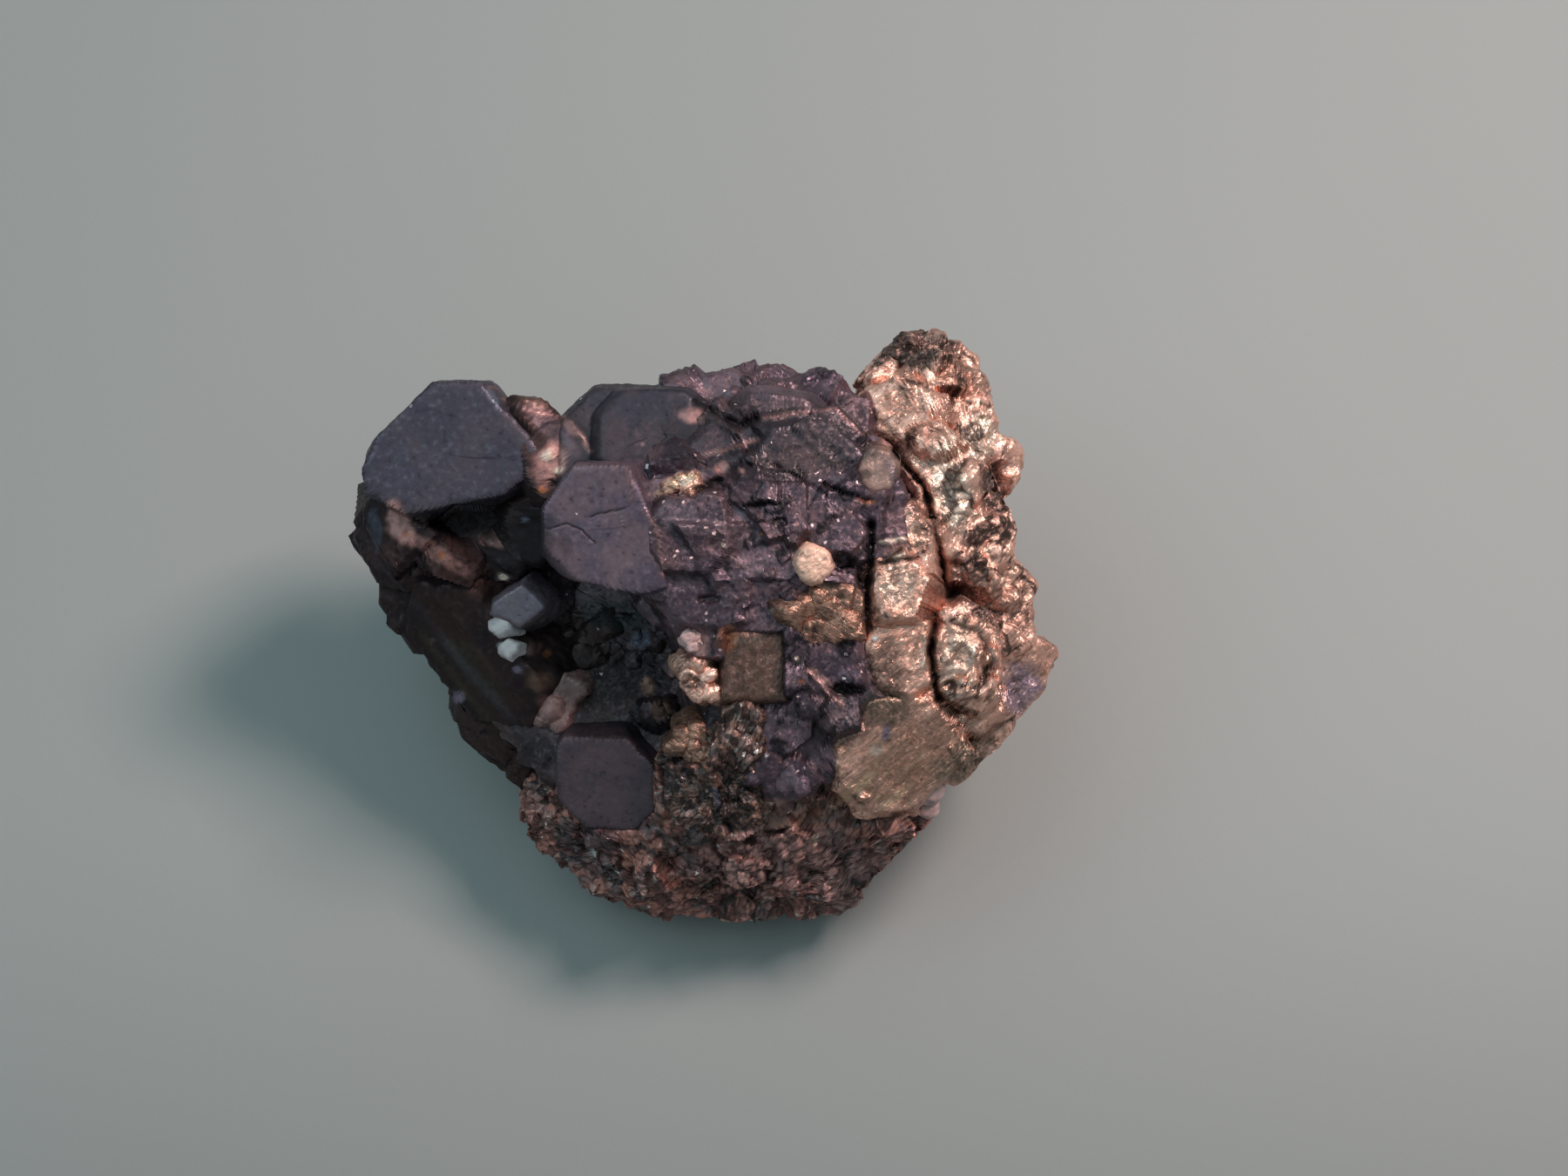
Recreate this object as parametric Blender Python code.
"""Galena with pyrite: a hand specimen of dark lead-grey galena crystals grown together, crusted on one
side with brassy pyrite, on a granular rim of sphalerite, with a few pale calcite and quartz grains.

Every crystal is a tablet: a flat cap cut to a many-sided outline, bevelled shoulders and a body that
widens downwards. A tablet is laid out on the specimen's broad front face, in millimetres: x runs to the
right, y up the face and z straight out of it. The whole specimen then leans back and stands on the flat
at its foot, with +Z up and the origin under its middle.
"""

import math
import random
from collections import namedtuple

import bmesh
import bpy
import numpy as np
from mathutils import Matrix, Vector

MM = 0.001
LEAN_DEG = 25.0
SET_DOWN = (0.31, -0.37, 14.0)
CONTACT_GAP = 0.3
MERGE_GAP = 0.002
STOCK_SIZE = 120.0
GROUND_SIZE = 0.2

# A tablet: the middle of its cap, its outline, the azimuth it leans towards and how far, its depth, the slope
# of its shoulders and how much its sides widen, in mm and degrees.
Tablet = namedtuple("Tablet", "x y z rim lean deep shoulder flare", defaults=(52.0, 9.0))
SIDE_REACH = 1.16
UNEVEN_DEG = 7.0
SIDE_WANDER = 0.22
REACH_WANDER = 0.12

# Rays are cast from the middle to find where the small blocks, lumps and nubs grow.
MIDDLE = np.array([0.0, -1.0, -3.0])
STUD_DIRECTIONS = 230
LOWEST_STUD = 1.6
STUD_STRETCH = (0.75, 1.3)
GRAIN_CLEARANCE = 1.5
SMOOTH_CRYSTALS = (
    "left_crystal", "middle_crystal", "upper_crystal", "lower_crystal", "flank_crystal",
    "peak_block", "shoulder", "band", "band_top", "lobe", "slab",
)

# The small crystals that grow on each mineral: sides, shoulder, least and most reach, and how far they stand
# out and lean, in mm and as a share of their upright.
Stud = namedtuple("Stud", "sides shoulder reach height lean turn")
STUDS = {
    "galena": Stud(4, 74.0, (0.8, 1.7), (0.1, 0.7), 0.14, 18.0),
    "pyrite": Stud(6, 40.0, (0.8, 1.5), (0.1, 0.45), 0.25, 0.0),
    "sphalerite": Stud(5, 50.0, (0.7, 1.3), (0.05, 0.35), 0.24, 0.0),
}

# The material of each mineral: colour, roughness and metallic value.
FINISHES = {
    "galena": ((0.085, 0.080, 0.098), 0.42, 0.85),
    "pyrite": ((0.56, 0.44, 0.29), 0.30, 1.0),
    "sphalerite": ((0.075, 0.048, 0.042), 0.50, 0.2),
    "calcite": ((0.52, 0.40, 0.37), 0.55, 0.0),
    "quartz": ((0.62, 0.66, 0.66), 0.25, 0.0),
}


def rim_of(name, reach, stretch=1.0, sides=7, turn=0.0):
    """The outline of a cap: (azimuth in degrees, reach in mm) of each side, uneven as a real grain is."""
    rng = random.Random(name)
    step = 360.0 / sides
    rim = []
    for side in range(sides):
        azimuth = turn + step * (side + rng.uniform(-SIDE_WANDER, SIDE_WANDER))
        along = math.cos(math.radians(azimuth))
        aspect = 1.0 / math.sqrt((along / stretch) ** 2 + 1.0 - along**2)
        rim.append((azimuth, reach * aspect * rng.uniform(1.0 - REACH_WANDER, 1.0 + REACH_WANDER)))
    return tuple(rim)


def grain(name, x, y, z, reach, stretch=1.0, turn=0.0, lean=(0.0, 0.0), deep=7.0, sides=7, shoulder=52.0):
    """A tablet with an outline drawn from its own name."""
    return Tablet(x, y, z, rim_of(name, reach, stretch, sides, turn), lean, deep, shoulder)


def lump(name, x, y, z, reach, stretch, lean, deep=8.0, sides=7, shoulder=44.0):
    """A rounded crystal of the pyrite crust."""
    return grain(name, x, y, z, reach, stretch, 0.0, lean, deep, sides, shoulder)


def nub(name, x, y, z, reach, stretch, lean):
    """A crystal of the granular sphalerite rim."""
    return grain(name, x, y, z, reach, stretch, 0.0, lean, 7.0, 7, 46.0)


HEART = {
    "body": Tablet(
        1.5, 0.5, 6.0,
        ((0, 11.5), (32, 11.0), (60, 10.4), (92, 9.4), (122, 9.0), (150, 8.0),
         (178, 8.5), (212, 8.0), (242, 9.0), (272, 9.5), (302, 10.5), (332, 11.0)),
        (250.0, 4.0), 14.0, 52.0, 4.0,
    ),
    "matrix": Tablet(
        0.0, -0.5, 0.2,
        ((2, 17.0), (28, 17.0), (52, 17.0), (75, 14.0), (100, 13.8), (128, 15.6), (152, 17.4), (176, 16.8),
         (200, 14.2), (226, 12.0), (250, 11.8), (275, 12.4), (300, 12.4), (330, 14.2)),
        (90.0, 14.0), 15.0, 40.0, -14.0,
    ),
    "foot": Tablet(
        0.0, 0.6, -7.0,
        ((4, 12.4), (40, 11.4), (75, 10.6), (110, 10.8), (146, 11.6), (180, 12.2), (218, 11.0), (250, 10.4),
         (286, 10.6), (325, 11.4)),
        (90.0, 25.0), 18.0, 45.0, 3.0,
    ),
}

BACK = {
    "back_west": grain("back_west", -8.4, 12.2, -3.6, 3.6, 1.2, lean=(102.0, 98.0), deep=6.0),
    "back_mid": grain("back_mid", 0.4, 12.2, -5.4, 4.2, 1.2, lean=(92.0, 112.0), deep=6.0, sides=8),
    "back_east": grain("back_east", 8.4, 12.0, -4.4, 3.8, 1.1, lean=(78.0, 104.0), deep=6.0),
    "back_low_west": grain("back_low_west", -5.4, 8.4, -11.0, 3.6, 1.3, lean=(102.0, 114.0), deep=6.0),
    "back_low_east": grain("back_low_east", 5.4, 8.6, -11.2, 3.8, 1.1, lean=(84.0, 116.0), deep=6.0),
    "back_corner": grain("back_corner", -14.0, 7.0, -4.6, 3.4, lean=(150.0, 98.0), deep=6.0),
    "back_peak": grain("back_peak", 13.4, 10.2, -5.4, 3.2, lean=(44.0, 100.0), deep=6.0),
    "side_west": grain("side_west", -14.2, 0.6, -5.6, 3.2, lean=(185.0, 108.0), deep=6.0),
    "side_east": grain("side_east", 14.6, 1.6, -5.6, 3.4, lean=(2.0, 104.0), deep=6.0),
}

GALENA = {
    "left_crystal": Tablet(
        -16.0, 11.5, 5.5,
        ((0, 5.2), (45, 5.0), (90, 4.1), (135, 3.9), (180, 5.6), (225, 5.0), (270, 3.8), (315, 4.0)),
        (150.0, 6.0), 7.5, 56.0, -3.0,
    ),
    "left_bevel": grain("left_bevel", -10.8, 13.2, 4.4, 1.9, 0.9, lean=(30.0, 28.0), deep=7.0, sides=6),
    "middle_crystal": Tablet(
        -6.9, 6.7, 10.6,
        ((-17, 3.0), (43, 3.2), (90, 3.9), (155, 3.7), (190, 3.7),
         (215, 3.8), (248, 3.5), (275, 3.9), (299, 4.3)),
        (215.0, 5.0), 9.0, 62.0, 6.0,
    ),
    "upper_crystal": Tablet(
        -5.0, 12.2, 6.2,
        ((0, 4.2), (48, 4.2), (90, 3.6), (135, 3.8), (180, 4.0), (270, 3.4)),
        (105.0, 14.0), 10.0, 56.0, 4.0,
    ),
    "lower_crystal": Tablet(
        -6.4, -9.9, 3.2,
        ((0, 3.7), (45, 3.3), (90, 3.0), (135, 4.3), (180, 3.4), (225, 3.4), (270, 3.1), (315, 3.9)),
        (235.0, 14.0), 9.0, 52.0, 2.0,
    ),
    "flank_crystal": grain("flank", -18.2, 3.2, 0.9, 3.7, lean=(200.0, 25.0), deep=5.5, sides=8),
    "flank_top": grain("flank_top", -20.0, 6.4, 1.8, 2.8, lean=(182.0, 20.0), deep=5.0, sides=7),
    "ridge_low": grain("ridge_low", -14.6, -2.4, -0.6, 3.3, turn=20, lean=(215.0, 28.0), deep=8.0),
    "edge_lump": grain("edge_lump", -14.2, -5.8, -2.2, 2.5, lean=(200.0, 30.0), deep=6.0),
    "edge_low": grain("edge_lower", -11.0, -8.6, -1.6, 2.0, lean=(220.0, 34.0), deep=6.0),
    "top_ridge_west": grain("top_ridge_west", 1.4, 13.9, 5.4, 2.9, 1.3, lean=(100.0, 24.0), deep=8.0),
    "top_ridge_mid": grain("top_ridge_mid", 4.0, 15.0, 3.6, 2.4, 1.2, lean=(90.0, 30.0), deep=7.0),
    "top_ridge_east": grain("top_ridge_east", 6.8, 13.2, 6.0, 3.2, 1.3, lean=(80.0, 22.0), deep=8.0),
    "brow": grain("brow", 4.6, 10.8, 8.6, 4.0, 1.5, lean=(90.0, 12.0), deep=8.0, sides=8),
    "field_west": grain("field_west", -0.6, 6.8, 9.6, 3.6, 1.1, lean=(80.0, 5.0), deep=8.0, shoulder=70.0),
    "field_mid": grain("field_mid", 4.6, 6.6, 9.9, 3.2, 1.3, lean=(60.0, 4.0), deep=8.0, shoulder=70.0),
    "field_east": grain("field_east", 9.6, 7.0, 9.5, 3.2, lean=(40.0, 8.0), deep=8.0, shoulder=70.0),
    "field_low": grain("field_low", 2.4, 2.2, 9.6, 3.6, 1.4, lean=(250.0, 6.0), deep=8.0, shoulder=70.0),
    "wall_east": grain("wall_east", 9.6, 3.8, 9.4, 2.2, lean=(0.0, 8.0), deep=7.0),
    "hollow_lip": grain("hollow_lip", -4.4, 1.2, 7.6, 2.5, 1.3, lean=(230.0, 26.0), deep=7.0),
    "low_block_east": grain("low_block_east", 8.2, -2.8, 9.2, 2.6, 1.1, 12.0, (330.0, 6.0), 8.0),
    "low_block_mid": grain("low_block_mid", 6.2, -7.2, 8.0, 2.8, turn=30, lean=(280.0, 14.0), deep=8.0),
    "low_block_west": grain("low_block_west", 1.8, -6.0, 7.6, 2.6, lean=(260.0, 14.0), deep=8.0),
    "low_block_foot": grain("low_block_foot", 2.0, -9.6, 6.0, 2.6, lean=(260.0, 22.0), deep=8.0),
}

HOLLOWS = {
    "hollow": grain("hollow", -9.4, -3.0, 8.0, 4.4, 1.1, lean=(225.0, 8.0), deep=8.5, sides=8),
    "crevice": grain("crevice", -14.0, 6.6, 5.0, 2.0, 1.8, lean=(250.0, 10.0), deep=4.0),
}

# The dark crack between the crust's bright band and its lobe: its corners on the front face, and its floor.
CRACK = ((12.3, 11.5), (14.3, 9.2), (15.3, 4.8), (15.6, 3.1), (14.9, 1.4), (14.7, -1.4), (15.2, -4.2))
CRACK_TOP = 12.0
CRACK_FLOOR = 6.2
CRACK_HALF_WIDTH = 0.2

HOLLOW_FILL = {
    "hollow_crystal": grain("hollow_crystal", -11.4, 1.6, 3.2, 1.6, 1.1, lean=(200.0, 12.0), sides=6),
}

PYRITE = {
    "peak": lump("peak", 14.7, 16.9, 1.4, 2.5, 1.25, (75.0, 26.0), deep=6.0, shoulder=42.0),
    "peak_block": lump("peak_block", 13.2, 14.2, 5.0, 1.8, 1.25, (120.0, 10.0), 9.0, 6, 52.0),
    "peak_east": lump("peak_east", 16.9, 14.8, 3.0, 2.4, 0.8, (30.0, 28.0), deep=6.0),
    "shoulder": lump("shoulder", 15.6, 10.3, 6.5, 2.7, 0.75, (40.0, 14.0), deep=9.0, shoulder=42.0),
    "knob": lump("knob", 19.0, 11.0, 2.0, 2.1, 0.8, (10.0, 24.0), deep=5.5),
    "waist": lump("waist", 17.6, 6.2, 5.8, 2.8, 0.85, (10.0, 18.0), deep=9.0, shoulder=42.0),
    "band_top": lump("band_top", 13.1, 5.8, 8.9, 1.9, 0.9, (20.0, 8.0), deep=7.0),
    "band": grain("band", 12.7, 2.9, 9.9, 2.0, 0.8, 45.0, (5.0, 8.0), 8.0, sides=5, shoulder=60.0),
    "band_low": lump("band_low", 13.1, -1.4, 9.0, 2.4, 0.8, (330.0, 8.0)),
    "lobe": lump("lobe", 16.8, -1.8, 8.3, 2.8, 0.7, (340.0, 12.0), deep=9.0, sides=9, shoulder=36.0),
    "edge": lump("edge", 19.8, 1.4, 4.0, 2.9, 0.75, (5.0, 30.0), deep=6.0),
    "edge_lobe": lump("edge_lobe", 20.2, -2.8, 3.0, 2.7, 0.9, (345.0, 30.0), deep=6.0),
    "slab": lump("slab", 12.6, -7.6, 7.6, 3.8, 1.0, (300.0, 18.0), deep=10.0, sides=8, shoulder=52.0),
    "slab_east": lump("slab_east", 17.0, -6.8, 5.4, 2.8, 1.0, (320.0, 28.0), deep=7.0, shoulder=52.0),
}

SPHALERITE = {
    "rim_1": nub("rim_1", -8.8, -12.8, -1.0, 2.2, 1.0, (235.0, 34.0)),
    "rim_2": nub("rim_2", -6.4, -15.2, -1.4, 2.6, 1.2, (250.0, 36.0)),
    "rim_3": nub("rim_3", -2.4, -16.6, -0.6, 2.9, 1.2, (262.0, 34.0)),
    "rim_4": nub("rim_4", 2.0, -17.2, -0.8, 2.9, 1.2, (270.0, 34.0)),
    "rim_5": nub("rim_5", 6.2, -16.6, -0.4, 2.8, 1.1, (276.0, 34.0)),
    "rim_6": nub("rim_6", 9.8, -15.2, 0.8, 2.7, 1.1, (290.0, 34.0)),
    "rim_7": nub("rim_7", 12.4, -12.4, 1.6, 2.0, 1.1, (305.0, 34.0)),
    "apron_1": nub("apron_1", -3.4, -12.8, 3.2, 2.6, 1.2, (255.0, 26.0)),
    "apron_2": nub("apron_2", 1.4, -13.4, 3.8, 2.8, 1.2, (262.0, 28.0)),
    "apron_3": nub("apron_3", 6.4, -12.8, 4.4, 2.8, 1.2, (275.0, 28.0)),
    "apron_4": nub("apron_4", 10.4, -11.8, 4.2, 2.4, 1.1, (290.0, 28.0)),
}

GRAINS = {
    "pyrite_disk": ("pyrite", grain("disk", 11.2, 10.3, 9.2, 1.5, 0.85, 0.0, (60.0, 10.0), 2.2, sides=9)),
    "pyrite_button": ("pyrite", grain("button", 7.2, 4.3, 10.9, 1.0, 1.0, 0.0, (300.0, 6.0), 2.0, sides=9)),
    "pyrite_block": (
        "pyrite",
        Tablet(3.4, -2.2, 9.4, ((2, 1.9), (88, 2.2), (178, 1.9), (271, 2.1)), (200.0, 4.0), 4.0, 70.0, 4.0),
    ),
    "pyrite_cluster": ("pyrite", grain("cluster", -0.2, -3.3, 8.9, 1.15, 1.0, 0.0, (220.0, 10.0), 3.0)),
    "pyrite_grain": ("pyrite", grain("grain", -0.7, -7.3, 7.5, 1.3, 1.0, 0.0, (200.0, 14.0), 3.0)),
    "pyrite_patch": ("pyrite", grain("patch", 8.2, 1.3, 9.9, 2.0, 1.3, 0.0, (280.0, 6.0), 3.0, sides=8)),
    "pyrite_streak": ("pyrite", grain("streak", -1.0, 9.3, 9.9, 0.9, 1.4, 0.0, (120.0, 8.0), 2.4)),
    "calcite_patch": ("calcite", grain("calcite_patch", 14.8, -11.0, 4.4, 1.2, 0.7, 0.0, (300.0, 30.0), 3.0)),
    "calcite_vein": ("calcite", grain("calcite_vein", -0.6, -0.5, 9.3, 0.8, 0.9, 0.0, (200.0, 10.0), 2.6)),
    "calcite_ledge": ("calcite", grain("calcite_ledge", -9.6, -4.8, 2.2, 1.2, 1.5, 0.0, (230.0, 10.0), 3.4)),
    "quartz_west": ("quartz", grain("quartz_west", -13.1, 0.0, 2.2, 0.9, 0.9, 0.0, (160.0, 20.0), 4.0, 6)),
}


def crack_blades():
    """Thin upright cutters along the crack, each from one of its corners to the next."""
    blades = {}
    for start, end in zip(CRACK, CRACK[1:]):
        reach = math.dist(start, end) / 2.0 + CRACK_HALF_WIDTH
        turn = math.degrees(math.atan2(end[1] - start[1], end[0] - start[0]))
        sides = (reach, CRACK_HALF_WIDTH, reach, CRACK_HALF_WIDTH)
        rim = tuple((turn + 90.0 * corner, side) for corner, side in enumerate(sides))
        middle = ((start[0] + end[0]) / 2.0, (start[1] + end[1]) / 2.0)
        depth = CRACK_TOP - CRACK_FLOOR
        blades[f"crack_{len(blades) + 1}"] = Tablet(*middle, CRACK_TOP, rim, (0.0, 0.0), depth, 80.0, -1.0)
    return blades


def stance_of(lean):
    """The turn that leans a cap's +z over: lean is the azimuth it leans towards and how far, in degrees."""
    azimuth, tilt = (math.radians(angle) for angle in lean)
    axis = np.array([-math.sin(azimuth), math.cos(azimuth), 0.0])
    cross = np.array([[0.0, 0.0, axis[1]], [0.0, 0.0, -axis[0]], [-axis[1], axis[0], 0.0]])
    return np.eye(3) + math.sin(tilt) * cross + (1.0 - math.cos(tilt)) * (cross @ cross)


def planes_of(tablet, grow=0.0):
    """The tablet's flat faces, as outward unit normals and their distances from the front frame's zero."""
    rng = random.Random(f"{tablet.x:.2f} {tablet.y:.2f} {tablet.z:.2f}")
    points = [np.zeros(3), np.array([0.0, 0.0, -tablet.deep])]
    normals = [np.array([0.0, 0.0, 1.0]), np.array([0.0, 0.0, -1.0])]
    for turn, reach in tablet.rim:
        out = np.array([math.cos(math.radians(turn)), math.sin(math.radians(turn)), 0.0])
        shoulder = math.radians(tablet.shoulder + rng.uniform(-UNEVEN_DEG, UNEVEN_DEG))
        flare = math.radians(tablet.flare)
        points += [out * reach, out * reach * SIDE_REACH]
        normals.append(out * math.sin(shoulder) + np.array([0.0, 0.0, math.cos(shoulder)]))
        normals.append(out * math.cos(flare) + np.array([0.0, 0.0, math.sin(flare)]))
    stance = stance_of(tablet.lean)
    centre = np.array([tablet.x, tablet.y, tablet.z])
    normals = np.array(normals) @ stance.T
    points = np.array(points) @ stance.T + centre
    return normals, np.einsum("ij,ij->i", normals, points) + grow


def sunflower(count):
    """Unit directions spread evenly all round, each a golden angle on from the last."""
    golden = math.pi * (3.0 - math.sqrt(5.0))
    for step in range(count):
        rise = 1.0 - 2.0 * (step + 0.5) / count
        level = math.sqrt(1.0 - rise * rise)
        yield np.array([level * math.cos(golden * step), level * math.sin(golden * step), rise])


def way_through(planes, direction):
    """Where a ray from the middle enters and leaves a tablet, and the face it meets at each."""
    normals, offsets = planes
    lead = normals @ direction
    room = offsets - normals @ MIDDLE
    distance = room / np.where(np.abs(lead) < 1e-9, 1e-9, lead)
    enter = np.where(lead < 0.0, distance, -np.inf)
    leave = np.where(lead > 0.0, distance, np.inf)
    first, last = int(enter.argmax()), int(leave.argmin())
    return max(enter[first], 0.0), leave[last], normals[first], normals[last]


def outermost(direction, crystals, hollows):
    """The crystal that the ray leaves last: its mineral and name, how far out that is, and its face there."""
    best = ("", "", 0.0, direction)
    for mineral, name, planes in crystals:
        enter, leave, _, face = way_through(planes, direction)
        if enter < leave and leave > best[2]:
            best = (mineral, name, leave, face)
    for planes in hollows:
        enter, leave, floor, _ = way_through(planes, direction)
        if best[0] == "galena" and enter < best[2] < leave:
            best = (best[0], "hollow", enter, -floor)
    return best


def height_above_ground(point):
    """How high a point of the front frame is above the surface that the specimen stands on, in mm."""
    lean = math.radians(LEAN_DEG)
    return point[1] * math.sin(lean) + point[2] * math.cos(lean) + SET_DOWN[2]


def studs():
    """Small blocks, lumps and nubs all over the rough crystals, by the mineral that they grow on."""
    groups = {"galena": {**HEART, **BACK, **GALENA}, "pyrite": PYRITE, "sphalerite": SPHALERITE}
    crystals = [
        (mineral, name, planes_of(tablet))
        for mineral, group in groups.items()
        for name, tablet in group.items()
    ]
    hollows = [planes_of(tablet) for tablet in HOLLOWS.values()]
    seeds = [tablet for _, tablet in GRAINS.values()]
    rng = random.Random("studs")
    grown = {mineral: {} for mineral in STUDS}
    for direction in sunflower(STUD_DIRECTIONS):
        mineral, host, distance, face = outermost(direction, crystals, hollows)
        stud = STUDS[mineral]
        reach = rng.uniform(*stud.reach)
        stand = face + np.array([rng.gauss(0.0, stud.lean) for _ in range(3)])
        stand /= np.linalg.norm(stand)
        spot = MIDDLE + direction * distance + stand * rng.uniform(*stud.height)
        clear = all(math.dist(spot, seed[:3]) > reach + GRAIN_CLEARANCE * seed.rim[0][1] for seed in seeds)
        if host in SMOOTH_CRYSTALS or not clear or height_above_ground(spot) < LOWEST_STUD:
            continue
        lean = (math.degrees(math.atan2(stand[1], stand[0])), math.degrees(math.acos(stand[2])))
        name = f"{mineral}_{len(grown[mineral]) + 1}"
        rim = rim_of(name, reach, rng.uniform(*STUD_STRETCH), stud.sides, stud.turn)
        grown[mineral][name] = Tablet(*spot, rim, lean, reach * 2.0, stud.shoulder)
    return grown


def to_stand(point):
    """A point of the front frame, in millimetres, where it is on the standing specimen, in metres."""
    return (Matrix.Rotation(math.radians(LEAN_DEG), 3, "X") @ Vector(point) + Vector(SET_DOWN)) * MM


def solid_of(name, tablet, grow=0.0):
    """A closed mesh object: a big block cut down by each of the tablet's planes."""
    bm = bmesh.new()
    bmesh.ops.create_cube(bm, size=STOCK_SIZE)
    bmesh.ops.translate(bm, verts=bm.verts, vec=(tablet.x, tablet.y, tablet.z))
    for normal, offset in zip(*planes_of(tablet, grow)):
        cut = bmesh.ops.bisect_plane(
            bm,
            geom=bm.verts[:] + bm.edges[:] + bm.faces[:],
            plane_co=normal * offset,
            plane_no=normal,
            clear_outer=True,
        )
        rim = [part for part in cut["geom_cut"] if isinstance(part, bmesh.types.BMEdge)]
        if rim:
            bmesh.ops.contextual_create(bm, geom=rim)
    for vert in bm.verts:
        vert.co = to_stand(vert.co)
    bmesh.ops.recalc_face_normals(bm, faces=bm.faces)
    mesh = bpy.data.meshes.new(name)
    bm.to_mesh(mesh)
    bm.free()
    return bpy.data.objects.new(name, mesh)


def helper_group(name, solids):
    """A hidden collection of cutters or of crystals to be joined on."""
    group = bpy.data.collections.new(name)
    bpy.context.scene.collection.children.link(group)
    group.hide_render = True
    for solid in solids:
        solid.hide_render = True
        solid.display_type = "WIRE"
        group.objects.link(solid)
    return group


def boolean(obj, group, operation):
    """Joins a group of solids on, or cuts them away."""
    modifier = obj.modifiers.new(group.name, "BOOLEAN")
    modifier.operation = operation
    modifier.operand_type = "COLLECTION"
    modifier.collection = group
    modifier.solver = "EXACT"


def finish_of(mineral):
    """The mineral's own material."""
    if mineral in bpy.data.materials:
        return bpy.data.materials[mineral]
    colour, roughness, metallic = FINISHES[mineral]
    material = bpy.data.materials.new(mineral)
    material.use_nodes = True
    shader = material.node_tree.nodes["Principled BSDF"]
    shader.inputs["Base Color"].default_value = (*colour, 1.0)
    shader.inputs["Roughness"].default_value = roughness
    shader.inputs["Metallic"].default_value = metallic
    material.diffuse_color = (*colour, 1.0)
    return material


def ground_cutter():
    """A block whose top is the surface that the specimen stands on."""
    bm = bmesh.new()
    bmesh.ops.create_cube(bm, size=GROUND_SIZE)
    bmesh.ops.translate(bm, verts=bm.verts, vec=(0.0, 0.0, -GROUND_SIZE / 2.0))
    mesh = bpy.data.meshes.new("ground")
    bm.to_mesh(mesh)
    bm.free()
    return bpy.data.objects.new("ground", mesh)


def keep_largest_body(bm):
    """Drops the loose chips that a cut leaves behind, also one that still touches at a point or an edge."""
    left = set(bm.faces)
    bodies = []
    while left:
        front = [left.pop()]
        body = list(front)
        while front:
            face = front.pop()
            for edge in face.edges:
                if len(edge.link_faces) != 2:
                    continue
                for other in edge.link_faces:
                    if other in left:
                        left.remove(other)
                        front.append(other)
                        body.append(other)
        bodies.append(body)
    bodies.sort(key=lambda body: sum(face.calc_area() for face in body))
    chips = [face for body in bodies[:-1] for face in body]
    bmesh.ops.delete(bm, geom=chips, context="FACES")


def settle(obj):
    """Makes the modifiers' result the object's own mesh, with loose chips dropped."""
    graph = bpy.context.evaluated_depsgraph_get()
    mesh = bpy.data.meshes.new_from_object(obj.evaluated_get(graph))
    obj.modifiers.clear()
    bm = bmesh.new()
    bm.from_mesh(mesh)
    bmesh.ops.remove_doubles(bm, verts=bm.verts, dist=MERGE_GAP * MM)
    keep_largest_body(bm)
    bmesh.ops.triangulate(bm, faces=bm.faces)
    bm.to_mesh(mesh)
    bm.free()
    obj.data = mesh


def node(name, mineral, base, joined=(), pockets=(), hollows=(), fills=()):
    """One piece of the specimen: crystals joined, hollows and neighbours' pockets cut, foot cut flat."""
    obj = solid_of(name, base)
    bpy.context.scene.collection.objects.link(obj)
    if joined:
        boolean(obj, helper_group(name + "_joined", joined), "UNION")
    if hollows:
        boolean(obj, helper_group(name + "_hollows", hollows), "DIFFERENCE")
    if fills:
        boolean(obj, helper_group(name + "_fills", fills), "UNION")
    if pockets:
        boolean(obj, helper_group(name + "_pockets", pockets), "DIFFERENCE")
    boolean(obj, helper_group(name + "_ground", [ground_cutter()]), "DIFFERENCE")
    bpy.context.view_layer.update()
    settle(obj)
    obj.data.materials.clear()
    obj.data.materials.append(finish_of(mineral))
    return obj


def without(group, left_out):
    """The group with one tablet left out."""
    return {name: tablet for name, tablet in group.items() if name != left_out}


def solids_of(group, prefix, grow=0.0):
    """The mesh objects of a whole group of tablets."""
    return [solid_of(prefix + name, tablet, grow) for name, tablet in group.items()]


def main():
    """Builds the embedded grains, the crust, the rim and the galena, each with room for those before it."""
    for obj in list(bpy.data.objects):
        bpy.data.objects.remove(obj)

    grains = {name: tablet for name, (_, tablet) in GRAINS.items()}
    placed = {}
    for name, (mineral, tablet) in GRAINS.items():
        node(name, mineral, tablet, pockets=solids_of(placed, name + "_pocket_", CONTACT_GAP))
        placed[name] = tablet

    grown = studs()
    crust = {**PYRITE, **grown["pyrite"]}
    rim = {**SPHALERITE, **grown["sphalerite"]}
    node(
        "pyrite_crust", "pyrite", crust["shoulder"],
        joined=solids_of(without(crust, "shoulder"), "crust_"),
        hollows=solids_of(crack_blades(), "crust_"),
        pockets=solids_of(grains, "crust_pocket_", CONTACT_GAP),
    )

    node(
        "sphalerite_rim", "sphalerite", rim["apron_2"],
        joined=solids_of(without(rim, "apron_2"), "rim_"),
        pockets=solids_of({**grains, **crust}, "rim_pocket_", CONTACT_GAP),
    )

    node(
        "galena_mass", "galena", HEART["body"],
        joined=solids_of({**without(HEART, "body"), **BACK, **GALENA}, "mass_"),
        hollows=solids_of(HOLLOWS, "mass_"),
        fills=solids_of({**HOLLOW_FILL, **grown["galena"]}, "mass_"),
        pockets=solids_of({**grains, **crust, **rim}, "mass_pocket_", CONTACT_GAP),
    )


main()
